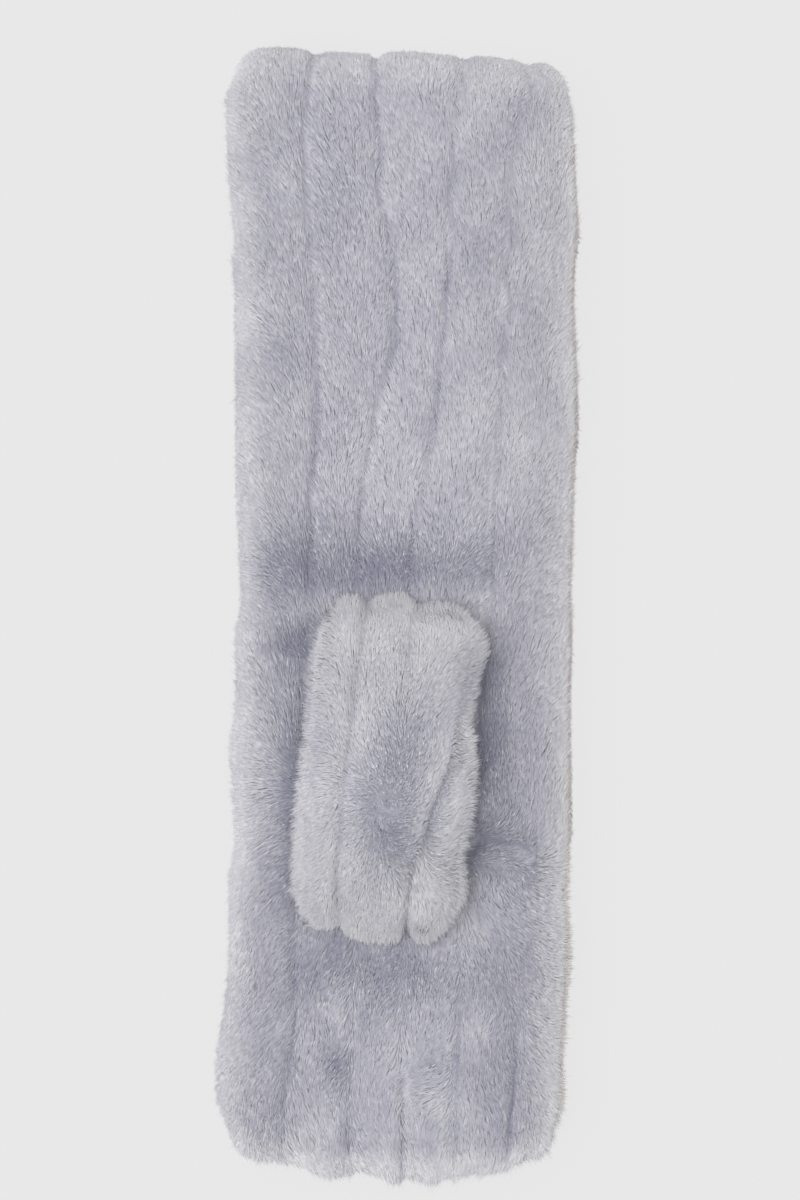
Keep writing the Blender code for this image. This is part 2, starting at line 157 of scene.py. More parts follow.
# how far a rounded corner takes the side in, at a distance past the end
def cornerTrim(pastEnd, radius):
    left = np.clip((radius - pastEnd) / radius, 0, 1)
    return radius * (1 - np.sqrt(1 - left**2))


# 1 at no distance, falling as e^-(distance / width)^2
def bell(distance, width):
    return np.exp(-((distance / width) ** 2))


# a bell across times a bell along, as deep as its row says
def oval(dip, x, y):
    return dip["depth"] * bell(x - dip["x"], dip["across"]) * bell(y - dip["y"], dip["along"])


# pile lost to all the dips
def dipped(x, y):
    return sum(oval(dip, x, y) for dip in dips)


# how far the free end lies short here, fading up the wrap as e^-(distance / fade)
def hemShift(x, y):
    near = np.exp(-np.clip(y - wrap["freeEnd"], 0, None) / hem["fade"])
    return read(hem, "short", x, key="x") * near


# how far the fold lies short here, easing in on the way to it as 3t^2 - 2t^3
def foldShift(x, y):
    near = np.clip((y - fold["from"]) / (wrap["bendY"] - fold["from"]), 0, 1)
    return read(fold, "short", x, key="x") * near**2 * (3 - 2 * near)


# distance from a line through points, and the share of the way along it
def offLine(x, y, points):
    nearest = np.full(np.shape(x), np.inf)
    share = np.zeros(np.shape(x))
    for i, (start, end) in enumerate(zip(points, points[1:])):
        run = np.subtract(end, start)
        t = np.clip(((x - start[0]) * run[0] + (y - start[1]) * run[1]) / (run @ run), 0, 1)
        away = np.hypot(x - start[0] - t * run[0], y - start[1] - t * run[1])
        share = np.where(away < nearest, (i + t) / (len(points) - 1), share)
        nearest = np.minimum(nearest, away)
    return nearest, share


# pile lost to the pulled creases: a bell across each line, fading to its far end
def creased(x, y):
    lost = 0.0
    for crease in creases:
        away, share = offLine(x, y, crease["points"])
        lost = lost + crease["depth"] * bell(away, crease["width"]) * (1 - wrap["creaseFade"] * share**2)
    return lost


# 0 to 1 where the keeper's sewn ends press the ribs flat: a band across, with a bell along at each end
def pressedFlat(x, y):
    over = bell(np.clip(np.abs(x - pressed["x"]) - pressed["halfWidth"], 0, None), pressed["fade"])
    ends = bell(y - pressed["top"], pressed["along"]) + bell(y - pressed["bottom"], pressed["along"])
    return pressed["share"] * over * np.clip(ends, 0, 1)


# 0 to 1 down in the valleys between the ribs: a bell across each
def valleyShare(x, y):
    lost = 0.0
    for name in ("first", "second", "third", "fourth", "fifth"):
        across = bell(x - read(valleys, name, y), wrap["ribSoftness"])
        lost = lost + read(valleys, name + "Share", y) * across
    return lost * (1 - pressedFlat(x, y))


# -1 at the left of each rib to 1 at its right
def acrossRib(x, y, left, right):
    bounds = [left] + [read(valleys, name, y) for name in ("first", "second", "third", "fourth")]
    share = np.zeros(np.shape(x))
    for start, end in zip(bounds, bounds[1:] + [right]):
        share = np.where((x >= start) & (x < end), 2 * (x - start) / (end - start) - 1, share)
    return share


# the face wall's thickness: full, less its valleys, dips and creases
def ribbedWall(x, y):
    wall = wrap["wall"] - wrap["ribDepth"] * valleyShare(x, y) - dipped(x, y) - creased(x, y)
    return np.clip(wall, wrap["thinnestPile"], wrap["wall"])


# a smooth random field: the sum of six sine waves in random directions, 0.6 to 1.5 times as frequent as
# one wave in its size, over the root of 3
def waves(points, size, seed):
    rng = np.random.default_rng(seed)
    ways = rng.normal(size=(6, 3))
    ways *= (rng.uniform(0.6, 1.5, 6) / np.linalg.norm(ways, axis=1))[:, None] * 2 * np.pi / size
    return np.sin(points @ ways.T + rng.uniform(0, 2 * np.pi, 6)).sum(axis=-1) / math.sqrt(3)


# a tone's place between the dark colour, 0, and the warm one, 1
def toneShare(tone):
    return (tone - furColours["darkTone"]) / (furColours["warmTone"] - furColours["darkTone"])


# vectors at length 1
def unit(vectors):
    return vectors / np.maximum(np.linalg.norm(vectors, axis=-1, keepdims=True), 1e-9)


# The tips' grid with its slopes, the skin's grid under it, and the way out from one to the other. Columns
# run all round the piece and close. The nap is a part along the rows' way and a part across it.
def surfaceOf(points, skin, ahead, aside, **facts):
    around = (np.roll(points, -1, axis=1) - np.roll(points, 1, axis=1)) / 2
    along = np.gradient(points, axis=0)
    nap = unit(around) * aside[..., None] + unit(along) * ahead[..., None]
    return dict(facts, points=points, skin=skin, around=around, along=along, nap=nap,
                normal=unit(points - skin))


# The nap's two parts, ahead and to the right, from a table of angles, turned by a fan's angle. Each
# column's way counts in full at its own place and not at all from its neighbours' places on.
def napOf(table, y, outward, fan=0.0):
    ahead = aside = 0.0
    for name, place in zip(napColumns, np.linspace(-1, 1, len(napColumns))):
        angle = np.radians(table[name])
        ways = {"y": table["y"], "ahead": np.cos(angle), "aside": np.sin(angle)}
        share = np.clip(1 - np.abs(outward - place) * (len(napColumns) - 1) / 2, 0, 1)
        if name + "Share" in table:
            share = share * read(table, name + "Share", y)
        ahead = ahead + share * read(ways, "ahead", y)
        aside = aside + share * read(ways, "aside", y)
    return ahead * np.cos(fan) - aside * np.sin(fan), aside * np.cos(fan) + ahead * np.sin(fan)


# values of a grid at fractional rows and columns, the four corners blended
def sample(grid, i, j):
    rows, columns = grid.shape[:2]
    row = np.clip(np.floor(i).astype(int), 0, rows - 2)
    column = np.floor(j).astype(int)
    s, t = i - row, j - column
    if grid.ndim == 3:
        s, t = s[:, None], t[:, None]
    a, b = column % columns, (column + 1) % columns
    low = grid[row, a] * (1 - t) + grid[row, b] * t
    high = grid[row + 1, a] * (1 - t) + grid[row + 1, b] * t
    return low * (1 - s) + high * s


# Across a tube, from left to right: how far in its columns are from its left, their share of its flat, and
# their share of its full height. Each side is a quarter round.
def acrossTube(roll, steps, flat):
    angle = np.linspace(0, np.pi / 2, steps)
    fromLeft = np.concatenate([roll * (1 - np.cos(angle)), np.full(len(flat) + steps, roll)])
    ofFlat = np.concatenate([np.zeros(steps), flat, np.ones(steps)])
    return fromLeft, ofFlat, np.concatenate([np.sin(angle), np.ones(len(flat)), np.sin(angle[::-1])])


# a tube's grid all round: its face's columns, then its back's from right to left without the two seams
def closed(face, back):
    return np.concatenate([face, back[:, -2:0:-1]], axis=1)


# The whole wrap as one tube of fur. Around: the face from its left seam to its right, then the back
# from right to left, each a quarter round at both sides. Along: the upper half from its free end, half
# a turn round the fold, and the under half back to its free end. A point's height above the middle
# plane is the radius that it turns with at the fold. The skin is the same surface, further in.
def wrapGrid(inset):
    wall, half = wrap["wall"], wrap["half"]
    isSkin = inset > 0
    roll = wrap["edgeRoll"] - wrap["skinRoll"] * inset
    angle = np.linspace(0, np.pi / 2, wrap["rollSteps"])
    corner = np.linspace(wrap["edgeRoll"], wrap["leftCorner"], wrap["cornerSteps"])[1:]
    far = wrap["bendY"] - wrap["freeEnd"]
    flat = np.linspace(wrap["leftCorner"], far, int((far - wrap["leftCorner"]) / wrap["rowStep"]))[1:-1]
    pastEnd = np.concatenate([wrap["edgeRoll"] * (1 - np.cos(angle)), corner, flat])
    turns = np.linspace(0, np.pi, wrap["turnSteps"])
    turn = np.concatenate([np.zeros(len(pastEnd)), turns, np.full(len(pastEnd), np.pi)])
    pastEnd = np.concatenate([pastEnd, np.full(len(turns), far), pastEnd[::-1]])
    rowY = wrap["freeEnd"] + pastEnd + inset * np.exp(-pastEnd / wrap["skinEnd"])
    under = np.clip((turn - np.pi / 2) / (np.pi / 2), 0, 1)
    isUnder = under > 0.99

    width = read(edges, "right", 0) - read(edges, "left", 0) - 2 * wrap["edgeRoll"]
    share = np.linspace(0, 1, int(width / wrap["columnStep"]))[1:-1]
    fromLeft, ofFlat, height = acrossTube(roll, wrap["rollSteps"], share)
    fromRight = fromLeft[::-1]

    outY = rowY + half * np.sin(turn)
    left = read(edges, "left", outY) - read(edges, "underLeft", outY) * under + inset
    right = read(edges, "right", outY) + read(edges, "underRight", outY) * under - inset
    left = (left + cornerTrim(pastEnd, wrap["leftCorner"]))[:, None]
    right = (right - cornerTrim(pastEnd, wrap["rightCorner"]))[:, None]
    faceX = left + fromLeft + ofFlat * (right - left - 2 * roll) + roll - fromRight
    endRoll = rolled(pastEnd, wrap["edgeRoll"])[:, None]
    shorter = wrap["underShort"] * np.exp(-pastEnd / wrap["underFade"])[:, None] * isUnder[:, None]
    y = rowY[:, None] + hemShift(faceX, rowY[:, None]) + shorter

    inward = np.clip(np.minimum(fromLeft + fromRight - roll, pastEnd[:, None]) / roll, 0, 1)
    flatFace = inward > wrap["flatFrom"]
    least = np.where(isUnder[:, None], wrap["pressedDepth"], wrap["combedDepth"])
    depth = wrap["pileDepth"] + (least - wrap["pileDepth"]) * inward**3
    along = y + (half * np.minimum(turn, np.pi / 2))[:, None]
    thick = ribbedWall(faceX, along) * (1 - under[:, None]) + wall * under[:, None]
    faceRise = wall + (thick - isSkin * depth) * height * endRoll
    backRise = wall - (wall - inset) * height * endRoll
    x, y, rise = closed(faceX, faceX), closed(y, y), closed(faceRise, backRise)
    bend = turn[:, None]
    outY = y + rise * np.sin(bend)
    points = np.stack([x, outY - foldShift(x, outY), half + rise * np.cos(bend)], axis=2)
    return points, dict(y=y, left=left, right=right, bend=bend, isUnder=isUnder, flatFace=flatFace,
                        pastEnd=np.broadcast_to(pastEnd[:, None], x.shape), seam=faceX.shape[1] - 1)


# The way the pile lies, in degrees from "towards the fold" round to the right, in five columns evenly from
# the left edge to the right. Where two ways that meet are opposite, the pile stands upright.
napColumns = ("left", "leftMiddle", "middle", "rightMiddle", "right")
wrapNap = {
    "y": (-262, -240, -225, -200, -175, -152, -137, -120, -110, -90, -75, -60, -30, 0, 30, 60, 130, 200,
          262),
    "left": (220, 215, 212, 210, 210, 212, 218, 225, 235, 265, -65, -48, -42, -38, -42, -40, -40,
             -35, -20),
    "leftMiddle": (180, 182, 186, 188, 188, 190, 195, 205, 208, 212, -60, -12, -8, -10, -12, -6, -4, -8,
                   -5),
    "middle": (180, 180, 182, 180, 182, 184, 180, 0, 0, 0, 0, 0, 0, 0, -4, 0, 0, -3, -2),
    "rightMiddle": (180, 180, 178, 182, 184, 180, 178, 175, 60, 5, 0, 2, 15, 22, 14, 6, -3, -4, 0),
    "right": (155, 140, 120, 105, 92, 88, 80, 60, 30, 4, 10, 15, 25, 40, 42, 28, 20, 18, 10),
}

# where the pile turns out of the nap: the middle, the radius, and the turn in degrees there
swirls = rowsOf(
    "x y radius turn",
    (14, -214, 13, 75), (-34, -186, 9, -40), (46, -190, 10, 35), (-26, 66, 14, 22), (30, 122, 12, -20),
)

# where the pile stands upright, so that one looks down into it, and where it is painted darker as shade:
# the share at the middle of each oval
upright = rowsOf(
    "x y across along depth",
    (-2, 21, 50, 15, 0.9), (-30, 165, 17, 95, 0.2), (-53, 22, 15, 25, 0.45), (-52, 114, 7, 12, 0.3),
    (-42, -17, 13, 8, 0.65), (-51, -84, 9, 56, 0.85), (38, -64, 7, 22, 0.5), (46, -88, 17, 50, 0.6),
    (-5, -165, 48, 15, 0.75), (44, -217, 12, 28, 0.35), (-28, -208, 7, 13, 0.9), (19, -206, 9, 6, 0.4),
    (-60, -200, 12, 30, 0.3),
)

# where the pile is painted paler, and below 0 darker: the dark ones are painted shade beside and under the
# keeper, in the creases and in dark pockets, the pale ones pale tufts and painted light by the rims: the
# share at the middle of each oval
pale = rowsOf(
    "x y across along depth",
    (-29, -184, 7, 7, 0.7), (34, -192, 7, 5, 0.9), (20, -228, 13, 8, 0.8), (4, -205, 6, 16, 0.5),
    (55, 82, 8, 14, 1.0), (-14, 60, 22, 20, 0.3), (66, 20, 9, 14, 0.4), (48, -128, 10, 10, 0.5),
    (-49, -82, 6, 52, -0.9), (-48, -14, 11, 7, -0.9), (40, -101, 8, 6, -1.8), (44, -60, 6, 11, -1.3),
    (43, -31, 7, 16, -1.5), (41, -115, 7, 6, -1.0), (70, -195, 11, 48, 0.6), (-66, -244, 14, 8, 0.4),
    (0, 16, 60, 9, -0.35), (-8, 124, 14, 14, -0.5), (-8, 45, 50, 12, -0.25), (-56, -133, 8, 10, -0.5),
    (-58, -207, 10, 14, -0.5), (41, -212, 8, 18, -0.3), (61, -103, 5, 5, -0.9),
    (-41.5, 12, 1.8, 20, -1.2), (-33, 15, 13, 9, -0.8), (-36, -150, 18, 14, -0.7),
    (-14, 13, 22, 4, -0.9), (0, 190, 60, 50, -0.3), (-5, -200, 55, 45, -0.35), (55, -62, 18, 45, -0.25),
    (-6, -160, 34, 10, -0.35), (-18, -190, 22, 22, -0.3), (-14, -222, 12, 14, -0.3),
    (-72, 108, 8, 24, -0.6), (-22, -153, 24, 5, -0.5), (64, 200, 9, 32, 0.8),
)

# how the pile turns and stands out by its edges, and the painted light and the painted warm reflection
# there: reaches in millimetres, the rest as shares
wrapPile = {
    "leastLean": 0.1,
    "fan": 28.0,  # degrees that the pile turns towards the valleys, beside them
    "fanPower": 1.3,
    "fanFade": 0.15,  # the share of the half width, in from a side, where that turn fades
    "foldFan": 35.0,  # degrees that it turns outwards round the fold
    "ribTurn": 1.3,  # quarter turns round the fold by which the ribs are gone
    "rim": 9.0,
    "foldRim": 0.6,  # how much of a rim the fold is
    "hemRim": 0.8,
    "hemRimReach": 8.0,
    "hemPull": 0.8,  # how far the pile turns off the free end, and off the sides
    "hemPullReach": 6.0,
    "sidePull": 0.5,
    "sidePullReach": 5.0,
    # painted light: the pile is painted paler at the free end, most this far in, and round the fold
    "hemPaintedLight": 0.7,
    "hemPaintedLightAt": 2.0,
    "hemPaintedLightReach": 9.0,
    "foldPaintedLight": 1.7,
    # the painted warm reflection on the tips along the right side: how far in it reaches
    "warmReach": 4.0,
    "warmFrom": 225.0,  # past here, at both ends, the painted warm reflection on the right side fades
    "warmFade": 15.0,
    "backSeen": 1.25,  # the part of the backs that has pile, in edge rolls from a side
    "fullCrease": 5.0,  # a crease this deep counts as a whole valley
}


# The wrap's surface and what the pile reads there. Its way is the nap's, fanned towards the valleys as a
# power of the place across the rib, turned by the swirls, pulled off the edges, and fanned out round the
# fold. Rims, the painted light at the hem and the fold, the painted shade and pale ovals, and the painted
# warm reflection are bells of the distance from an edge, and ovals.
def wrapSurface():
    points, grid = wrapGrid(0)
    skin = wrapGrid(wrap["pileDepth"])[0]
    x, y, bend = points[..., 0], grid["y"], grid["bend"]
    left, right, pastEnd = grid["left"], grid["right"], grid["pastEnd"]
    isUpper = bend == 0
    onBack = np.broadcast_to(np.arange(x.shape[1]) > grid["seam"], x.shape)
    fromSide = np.minimum(x - left, right - x)
    ribbed = ~onBack * np.clip(wrapPile["ribTurn"] - bend / (np.pi / 2), 0, 1)
    along = y + wrap["half"] * np.minimum(bend, np.pi / 2)

    outward = np.clip((2 * x - left - right) / (right - left), -1, 1)
    rib = acrossRib(x, along, left, right)
    fan = math.radians(wrapPile["fan"]) * np.sign(rib) * np.abs(rib) ** wrapPile["fanPower"] * ribbed
    fan = fan * np.clip((1 - np.abs(outward)) / wrapPile["fanFade"], 0, 1)
    rim = bell(np.minimum(fromSide, pastEnd), wrapPile["rim"])
    hemRim = wrapPile["hemRim"] * bell(pastEnd, wrapPile["hemRimReach"]) * isUpper
    fringe = np.maximum(rim, wrapPile["foldRim"] * np.sin(bend)) * (1 + hemRim)
    turn = sum(math.radians(place["turn"]) * bell(np.hypot(x - place["x"], y - place["y"]), place["radius"])
               for place in swirls) * ribbed
    ahead, aside = napOf(wrapNap, along, outward, fan + turn)
    ahead = ahead - wrapPile["hemPull"] * bell(pastEnd, wrapPile["hemPullReach"])
    aside = aside + wrapPile["sidePull"] * np.sign(outward) * bell(fromSide, wrapPile["sidePullReach"])
    folded = np.clip(bend / (np.pi / 2), 0, 1)
    foldFan = math.radians(wrapPile["foldFan"])
    ahead = ahead * (1 - folded) + math.cos(foldFan) * folded
    aside = aside * (1 - folded) + math.sin(foldFan) * outward * folded
    aside = aside * np.where(onBack, -1, 1)

    stand = 1 - sum(oval(patch, x, along) for patch in upright) * ribbed
    nearEdge = np.minimum(fromSide, pastEnd) < wrapPile["backSeen"] * wrap["edgeRoll"]
    floor = np.zeros(x.shape, bool)
    floor[:, :grid["seam"] + 1] = grid["flatFace"] & grid["isUnder"][:, None]
    # painted light at the free end and round the fold, and the painted warm reflection, fading at both ends
    hemPaintedLight = bell(pastEnd - wrapPile["hemPaintedLightAt"], wrapPile["hemPaintedLightReach"]) * isUpper
    edgePaintedLight = wrapPile["hemPaintedLight"] * hemPaintedLight + wrapPile["foldPaintedLight"] * np.sin(bend)
    warmEnds = bell(np.clip(np.abs(along) - wrapPile["warmFrom"], 0, None), wrapPile["warmFade"])
    # the creases count as valleys: they shorten the pile's run, and their bottoms are painted darker as
    # shade
    crease = np.minimum(creased(x, along) / wrapPile["fullCrease"], 1)
    return surfaceOf(points, skin, ahead, aside, seam=grid["seam"], floor=floor, onBack=onBack,
                     isUnder=grid["isUnder"], seen=np.where(onBack, nearEdge, 1.0),
                     lean=np.clip(stand, wrapPile["leastLean"], 1), rim=rim, fringe=fringe,
                     pale=edgePaintedLight + sum(oval(place, x, along) for place in pale) * ribbed,
                     warm=bell(right - x, wrapPile["warmReach"]) * warmEnds,
                     valley=np.maximum(valleyShare(x, along), crease) * ribbed)


# the keeper: its guides along the wrap, left edge to right, and how deep its inner valleys are
keeper = {
    "y": (-146, -134, -114, -99, -83, -62, -50, -36, -20, -12, -5, 6),
    "left": (-45, -48.6, -48.6, -48, -46.4, -43.6, -42, -40.8, -39.6, -38.6, -36.8, -33),
    "first": (-28, -29.6, -29.2, -27.4, -25.8, -23, -22.2, -21, -19, -18, -17, -14.6),
    "second": (-12, -11, -9.5, -7.5, -5, -1, 1, 2.6, 4, 5, 6.5, 9.4),
    "third": (2.8, 4, 7.4, 11.6, 17.8, 24.6, 26, 25.6, 27, 28, 26.4, 21),
    "right": (24.5, 29.8, 28.6, 32, 34, 33.8, 31.6, 34.2, 38.4, 40.2, 38.6, 29.6),
    "firstShare": (0.7, 1, 1, 1, 1, 1, 1, 1, 1, 1, 1, 1),
    "secondShare": (0, 0, 0, 0, 0, 0, 0.15, 0.55, 0.9, 1, 1, 1),
    "thirdShare": (1, 1, 1, 1, 1, 0.7, 0.3, 0, 0, 0, 0, 0),
    "upper": 12.0,
    "lower": 6.5,
    "roll": 11.0,
    "endRoll": 13.0,
    "ribDepth": 3.1,
    "ribSoftness": 3.1,
    "middle": -72.0,
    "seamsApart": 152.0,
    "seat": 0.5,
    "tunnelRise": 9.5,
    "pileDepth": 4.8,
    "combedDepth": 2.6,
    "skinRoll": 0.7,
    "skinUnder": 0.6,
    "endShare": 0.085,  # the share of its length, at each end, where the rows stand closer
    "rows": 64,
    "flatColumns": 42,
    "rollSteps": 7,
    "endSteps": 9,
}
keeperEnds = {
    "across": (0, 0.06, 0.12, 0.2, 0.25, 0.3, 0.37, 0.44, 0.5, 0.55, 0.62, 0.7, 0.75, 0.79, 0.86,
               0.93, 1),
    "bottom": (-142, -145.6, -146.6, -146.6, -145.2, -149, -151.2, -152.3, -152.8, -153, -152.8,
               -151, -146.5, -151.4, -153, -150, -144),
    "top": (-1, 5, 7.8, 7.6, 5, 7.4, 8.8, 7.8, 3.8, 4, 4.6, 5, 5, 4.6, 3.8, 2, -1),
}
keeperHollow = {"x": -7, "y": -80, "across": 11, "along": 36, "depth": 2.6}


# The keeper: a flattened tube of fur, closed at both sewn ends. Around: each side is a quarter round.
# Along: both ends are rolled too, and between them it is arched over its tunnel, as 1 - distance^3.
def keeperGrid(inset):
    roll = keeper["roll"] - keeper["skinRoll"] * inset
    ends = keeper["endShare"] * (1 - np.cos(np.linspace(0, np.pi / 2, keeper["endSteps"])))
    middle = np.linspace(keeper["endShare"], 1 - keeper["endShare"], keeper["rows"])[1:-1]
    share = np.concatenate([ends, middle, 1 - ends[::-1]])
    fromLeft, ofFlat, height = acrossTube(roll, keeper["rollSteps"],
                                          np.linspace(0, 1, keeper["flatColumns"])[1:-1])
    rowY = keeper["middle"] + (share - 0.5) * keeper["seamsApart"]
    left = read(keeper, "left", rowY)[:, None] + inset
    right = read(keeper, "right", rowY)[:, None] - inset
    x = left + fromLeft + ofFlat * (right - left - 2 * roll) + roll - fromLeft[::-1]

    inner = ("first", "second", "third")
    guides = [left] + [read(keeper, name, rowY)[:, None] for name in inner] + [right]
    steps = sum(np.clip((x - low) / (high - low), 0, 1) for low, high in zip(guides, guides[1:]))
    bottom = read(keeperEnds, "bottom", steps / 4, key="across") + inset
    top = read(keeperEnds, "top", steps / 4, key="across") - inset
    y = bottom + (top - bottom) * share[:, None]

    fromEnd = np.minimum(y - bottom, top - y)
    endRoll = rolled(fromEnd, keeper["endRoll"] - keeper["skinRoll"] * inset)
    arch = np.clip(1 - np.abs((y - keeper["middle"]) / (keeper["seamsApart"] / 2)) ** 3, 0, 1)
    lowest = wrap["stack"] - dipped(x, y) + keeper["seat"] + keeper["tunnelRise"] * arch
    edge = lowest + keeper["lower"] * endRoll
    valley = sum(read(keeper, name + "Share", y) * bell(x - read(keeper, name, y), keeper["ribSoftness"])
                 for name in inner)
    crest = keeper["upper"] - keeper["ribDepth"] * valley - oval(keeperHollow, x, y)
    depth = inset + (min(inset, keeper["combedDepth"]) - inset) * (height * endRoll) ** 6
    above = edge + (crest - depth) * height * endRoll
    below = edge - (keeper["lower"] - keeper["skinUnder"] * inset) * height * endRoll
    points = np.stack([closed(x, x), closed(y, y), closed(above, below)], axis=2)
    return points, dict(left=left, right=right, seam=x.shape[1] - 1, fromEnd=closed(fromEnd, fromEnd),
                        valley=closed(valley, np.zeros_like(valley)))


keeperNap = {
    "y": (-153, -140, -125, -110, -95, -80, -65, -50, -30, -12, 6),
    "left": (-150, -130, -120, -118, -114, -105, -98, -88, -76, -68, -45),
    "leftMiddle": (-170, -150, -145, -142, -130, -90, -30, -8, -6, -4, -8),
    "middle": (180, 188, 190, 195, 20, 12, 0, -6, -6, -4, 0),
    "middleShare": (1, 1, 0.6, 0.15, 0.1, 0.3, 0.6, 0.9, 1, 1, 1),
    "rightMiddle": (180, 165, 130, 80, 48, 36, 30, 22, 12, 8, 8),
    "right": (160, 145, 122, 98, 82, 72, 65, 60, 52, 42, 20),
}
# where the keeper's pile stands upright, and where it is painted darker as shade: the share at the middle
keeperUpright = rowsOf("x y across along depth", (1, -72, 13, 38, 0.8))
# where the keeper's pile is painted darker as shade, by its right edge, its left side and its middle, and
# paler, as painted light on its top lobes and right rib: the share at the middle of each oval
keeperPaintedShadeAndPale = rowsOf(
    "x y across along depth",
    (31, -52, 7, 17, -0.8), (34, -28, 5, 9, -0.6), (-38, -82, 10, 48, -0.5), (24, -90, 9, 50, 0.4),
    (12, -4, 26, 9, 0.9), (27, -30, 13, 16, -0.8), (4, -48, 12, 16, -0.5), (16, -56, 13, 18, -0.5),
)
keeperPile = {
    "leastLean": 0.1,
    "rim": 7.0,
    "sidePull": 0.6,  # how far the pile turns off the sides
    "sidePullReach": 5.0,
    # painted light at its rolled ends: how much, and how far in it reaches
    "endPaintedLight": 0.4,
    "endPaintedLightReach": 8.0,
    # the painted warm reflection on its right side: how strong, how far in, where along the wrap, and how
    # far along
    "warm": 0.7,
    "warmReach": 4.0,
    "warmAt": -58.0,  # the place along the wrap where the right side is warm
    "warmAlong": 18.0,
    "edgeFrom": 0.6,  # how much pile there is underneath, past this share out to a side, and inside it
    "underEdge": 0.7,
    "underMiddle": 0.3,
}


# The keeper's surface and what the pile reads there, in the same way as the wrap's.
def keeperSurface():
    points, grid = keeperGrid(0)
    skin = keeperGrid(keeper["pileDepth"])[0]
    x, y = points[..., 0], points[..., 1]
    left, right, fromEnd = grid["left"], grid["right"], grid["fromEnd"]
    onBack = np.broadcast_to(np.arange(x.shape[1]) > grid["seam"], x.shape)
    outward = np.clip((2 * x - left - right) / (right - left), -1, 1)
    fromSide = np.minimum(x - left, right - x)
    ahead, aside = napOf(keeperNap, y, outward)
    aside = aside + keeperPile["sidePull"] * np.sign(outward) * bell(fromSide, keeperPile["sidePullReach"])
    aside = aside * np.where(onBack, -1, 1)
    stand = 1 - sum(oval(patch, x, y) for patch in keeperUpright)
    isEdge = np.abs(outward) > keeperPile["edgeFrom"]
    under = np.where(isEdge, keeperPile["underEdge"], keeperPile["underMiddle"])
    # its rims, the painted light at its ends, and the painted warm reflection on its right side
    rim = bell(np.minimum(fromSide, fromEnd), keeperPile["rim"])
    endPaintedLight = keeperPile["endPaintedLight"] * bell(fromEnd, keeperPile["endPaintedLightReach"])
    warmSide = keeperPile["warm"] * bell(right - x, keeperPile["warmReach"])
    return surfaceOf(points, skin, ahead, aside, seam=grid["seam"], valley=grid["valley"],
                     seen=np.where(onBack, under, 1.0), rim=rim, fringe=rim,
                     lean=np.where(onBack, 1, np.clip(stand, keeperPile["leastLean"], 1)),
                     pale=endPaintedLight + sum(oval(place, x, y) for place in keeperPaintedShadeAndPale),
                     warm=warmSide * bell(y - keeperPile["warmAt"], keeperPile["warmAlong"]))


# a new object in the scene, at the origin
def placed(name, data):
    made = bpy.data.objects.new(name, data)
    bpy.context.scene.collection.objects.link(made)
    return made


# the same, from points in millimetres and faces
def makeObject(name, points, faces, material):
    mesh = bpy.data.meshes.new(name)
    mesh.from_pydata((points * mm).tolist(), [], faces)
    mesh.shade_smooth()
    mesh.materials.append(material)
    return placed(name, mesh)


# the skin under the pile, from some of its grid's rows and columns
def makeSkin(name, surface, rows, columns, material):
    picked = surface["skin"][rows][:, columns]
    height, width = picked.shape[:2]
    index = np.arange(height * width).reshape(height, width)
    faces = np.stack([index[:-1, :-1], index[:-1, 1:], index[1:, 1:], index[1:, :-1]], axis=2)
    return makeObject(name, picked.reshape(-1, 3), faces.reshape(-1, 4).tolist(), material)


# points picked evenly over a surface: each cell as often as its area and its weight
def scatter(surface, weight, count, rng):
    points = surface["points"]
    right = np.roll(points, -1, axis=1)
    area = np.linalg.norm(np.cross(right[:-1] - points[:-1], points[1:] - points[:-1]), axis=2)
    chance = (area * weight[:-1]).ravel().cumsum()
    cell = np.searchsorted(chance, rng.uniform(0, chance[-1], count))
    cell = np.minimum(cell, len(chance) - 1)
    i, j = np.divmod(cell, points.shape[1])
    return i + rng.uniform(0, 1, count), j + rng.uniform(0, 1, count)


# moves places on a surface along a direction in space, by the surface's own slopes there, each taken as
# no flatter than the least, and keeps them on their own side of the seams
def slide(surface, i, j, way, distance):
    leastSlope = 0.02
    along = sample(surface["along"], i, j)
    around = sample(surface["around"], i, j)
    low = np.where(j < surface["seam"], 0, surface["seam"])
    high = np.where(j < surface["seam"], surface["seam"], surface["points"].shape[1])
    di = (way * along).sum(1) / np.maximum((along**2).sum(1), leastSlope) * distance
    dj = (way * around).sum(1) / np.maximum((around**2).sum(1), leastSlope) * distance
    i = np.clip(i + di, 0, surface["points"].shape[0] - 1.001)
    return i, np.clip(j + dj, low, high - 1e-4)


# the number of the tuft that each place belongs to: a grid of cells in space, warped by smooth waves four
# cells long and about 0.6 of a cell high
def tuftOf(points, size, seed):
    warped = np.stack([waves(points, 4 * max(size), seed + k) for k in range(3)], axis=1)
    cells = np.floor(points / size + 0.6 * warped).astype(int)
    cells -= cells.min(axis=0)
    spans = cells.max(axis=0) + 1
    key = (cells[:, 0] * spans[1] + cells[:, 1]) * spans[2] + cells[:, 2]
    return np.unique(key, return_inverse=True)[1].reshape(-1)


# for each strand, the mean of its whole tuft's values
def tuftMean(values, tuft):
    total = np.stack([np.bincount(tuft, values[:, k]) for k in range(values.shape[1])], axis=1)
    return (total / np.bincount(tuft)[:, None])[tuft]


# turns each vector about an axis square to it: v cos + (axis x v) sin
def turned(vectors, axes, angle):
    c, s = np.cos(angle)[:, None], np.sin(angle)[:, None]
    return vectors * c + np.cross(axes, vectors) * s


